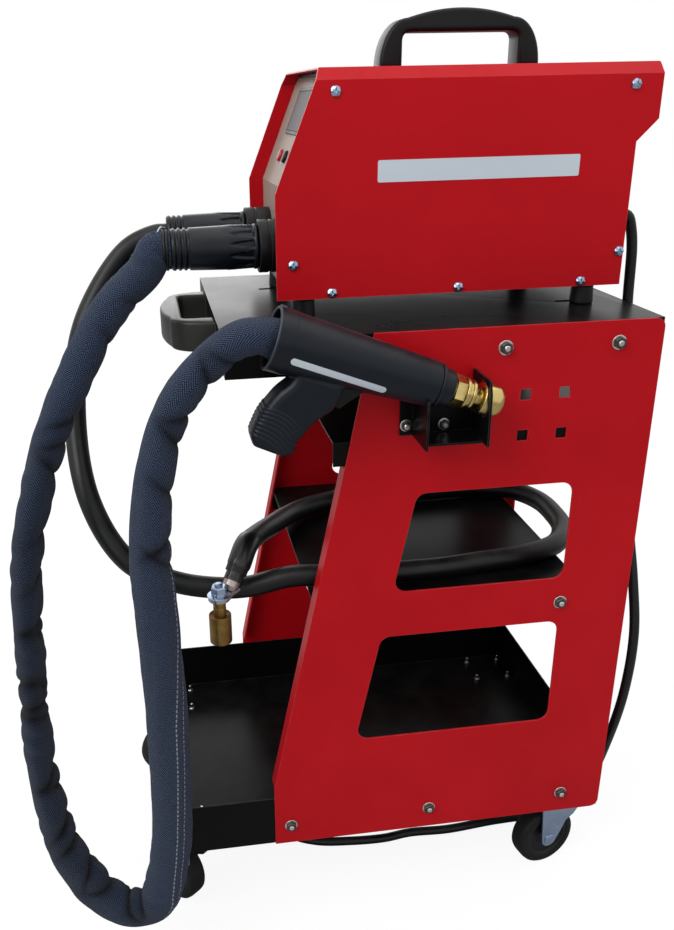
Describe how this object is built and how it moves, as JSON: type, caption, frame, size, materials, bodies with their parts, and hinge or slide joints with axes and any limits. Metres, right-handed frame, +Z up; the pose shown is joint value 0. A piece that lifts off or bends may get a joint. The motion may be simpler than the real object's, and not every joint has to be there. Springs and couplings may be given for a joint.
{
  "type": "dent pulling spot welder on a cart",
  "caption": "Spot welder for pulling dents on a shelved cart with swivel casters, with a sleeved pulling gun in its holder, a ground lead and a mains cord.",
  "frame": {"origin": "on the floor under the middle of the cart, welder, handles and gun, leads left out", "axes": "+Z up, -Y towards the cart's front with the push handle and the sockets, +X towards the side that holds the gun"},
  "size_m": [0.3934, 0.659, 0.9396],
  "materials": {
    "red_paint": "smooth red powder coat",
    "black_paint": "gloss black powder coat",
    "face_paint": "gloss grey",
    "navy_plastic": "satin navy-black moulding",
    "red_plastic": "gloss red moulding",
    "window": "clear dark window",
    "board": "green circuit board",
    "rubber": "matt black rubber",
    "tyre": "black tread",
    "zinc": "bright blue zinc",
    "core_steel": "laminated steel",
    "copper": "bare copper",
    "brass": "turned brass",
    "denim": "dark blue twill"
  },
  "bodies": {
    "cart": {"bottom_tray": "black_paint", "top_shelf": "black_paint", "second_shelf": "black_paint", "middle_shelf": "black_paint", "left_side_panel": "red_paint", "right_side_panel": "red_paint", "push_handle": "navy_plastic", "gun_holder": "black_paint", "front_left_caster_plate": "zinc", "front_right_caster_plate": "zinc", "rear_left_caster_plate": "zinc", "rear_right_caster_plate": "zinc", "machine_cover": "red_paint", "machine_base": "black_paint", "front_panel": "face_paint", "rear_panel": "face_paint", "carry_handle": "navy_plastic", "front_left_leg": "rubber", "front_right_leg": "rubber", "rear_left_leg": "rubber", "rear_right_leg": "rubber", "display_window": "window", "control_board": "board", "gun_socket": "navy_plastic", "ground_socket": "navy_plastic", "transformer_core": "core_steel", "primary_winding": "copper", "secondary_bar": "copper", "cord_gland": "rubber", "gun_left_shell": "navy_plastic", "gun_right_shell": "navy_plastic", "trigger_switch": "rubber", "gun_conductor": "copper", "gun_nose": "navy_plastic", "gun_nozzle": "brass", "gun_hose": "denim", "ground_cable": "rubber", "ground_lug": "copper", "lug_bolt": "zinc", "ground_electrode": "brass", "power_cord": "rubber", "power_cord_coil": "rubber", "power_plug": "rubber"},
    "front_left_swivel": {"front_left_caster_fork": "zinc"},
    "front_left_roller": {"front_left_caster_wheel": "tyre"},
    "front_right_swivel": {"front_right_caster_fork": "zinc"},
    "front_right_roller": {"front_right_caster_wheel": "tyre"},
    "rear_left_swivel": {"rear_left_caster_fork": "zinc"},
    "rear_left_roller": {"rear_left_caster_wheel": "tyre"},
    "rear_right_swivel": {"rear_right_caster_fork": "zinc"},
    "rear_right_roller": {"rear_right_caster_wheel": "tyre"},
    "mode_key": {"mode_button": "red_plastic"},
    "up_key": {"up_button": "navy_plastic"},
    "down_key": {"down_button": "navy_plastic"},
    "switch_rocker": {"power_switch": "red_plastic"},
    "fan_rotor": {"cooling_fan": "navy_plastic"},
    "gun_plug": {"gun_cable_plug": "navy_plastic"},
    "ground_plug": {"ground_cable_plug": "navy_plastic"},
    "trigger": {"gun_trigger": "red_plastic"},
    "chuck": {"gun_chuck": "brass"}
  },
  "joints": [
    {"name": "front_left_caster_swivel", "type": "hinge", "parent": "cart", "child": "front_left_swivel", "pos_m": [0.09446, -0.21336, 0.09], "axis": [0, 0, 1], "continuous": true},
    {"name": "front_left_wheel_spin", "type": "hinge", "parent": "front_left_swivel", "child": "front_left_roller", "pos_m": [0.08223, -0.22367, 0.0375], "axis": [0.6448, -0.7643, 0], "continuous": true},
    {"name": "front_right_caster_swivel", "type": "hinge", "parent": "cart", "child": "front_right_swivel", "pos_m": [-0.14954, -0.21336, 0.09], "axis": [0, 0, 1], "continuous": true},
    {"name": "front_right_wheel_spin", "type": "hinge", "parent": "front_right_swivel", "child": "front_right_roller", "pos_m": [-0.14187, -0.2274, 0.0375], "axis": [0.8776, 0.4794, 0], "continuous": true},
    {"name": "rear_left_caster_swivel", "type": "hinge", "parent": "cart", "child": "rear_left_swivel", "pos_m": [0.09446, 0.23264, 0.09], "axis": [0, 0, 1], "continuous": true},
    {"name": "rear_left_wheel_spin", "type": "hinge", "parent": "rear_left_swivel", "child": "rear_left_roller", "pos_m": [0.09842, 0.21714, 0.0375], "axis": [0.9689, 0.2474, 0], "continuous": true},
    {"name": "rear_right_caster_swivel", "type": "hinge", "parent": "cart", "child": "rear_right_swivel", "pos_m": [-0.14954, 0.23264, 0.09], "axis": [0, 0, 1], "continuous": true},
    {"name": "rear_right_wheel_spin", "type": "hinge", "parent": "rear_right_swivel", "child": "rear_right_roller", "pos_m": [-0.14636, 0.21696, 0.0375], "axis": [0.9801, 0.1987, 0], "continuous": true},
    {"name": "mode_button_press", "type": "slide", "parent": "cart", "child": "mode_key", "axis": [0, 0.9274, -0.374], "range_m": [0, 0.0012], "stiffness_N_per_m": 300, "springref_m": -0.001},
    {"name": "up_button_press", "type": "slide", "parent": "cart", "child": "up_key", "axis": [0, 0.9274, -0.374], "range_m": [0, 0.0012], "stiffness_N_per_m": 300, "springref_m": -0.001},
    {"name": "down_button_press", "type": "slide", "parent": "cart", "child": "down_key", "axis": [0, 0.9274, -0.374], "range_m": [0, 0.0012], "stiffness_N_per_m": 300, "springref_m": -0.001},
    {"name": "power_switch_rock", "type": "hinge", "parent": "cart", "child": "switch_rocker", "pos_m": [-0.08754, 0.22964, 0.732], "axis": [1, 0, 0], "range_deg": [0, 19.5]},
    {"name": "fan_spin", "type": "hinge", "parent": "cart", "child": "fan_rotor", "pos_m": [-0.02754, 0.21964, 0.81], "axis": [0, 1, 0], "continuous": true},
    {"name": "gun_plug_twist", "type": "hinge", "parent": "cart", "child": "gun_plug", "pos_m": [0.02746, -0.14036, 0.7357], "axis": [0, 1, 0], "range_deg": [0, 90]},
    {"name": "ground_plug_twist", "type": "hinge", "parent": "cart", "child": "ground_plug", "pos_m": [-0.08254, -0.14036, 0.7357], "axis": [0, 1, 0], "range_deg": [0, 90]},
    {"name": "gun_trigger_pull", "type": "slide", "parent": "cart", "child": "trigger", "axis": [0, -0.9457, 0.325], "range_m": [0, 0.005], "stiffness_N_per_m": 400, "springref_m": -0.002},
    {"name": "gun_chuck_twist", "type": "hinge", "parent": "cart", "child": "chuck", "pos_m": [0.16246, 0.06036, 0.6214], "axis": [0, 0.9457, -0.325], "range_deg": [0, 180]}
  ]
}
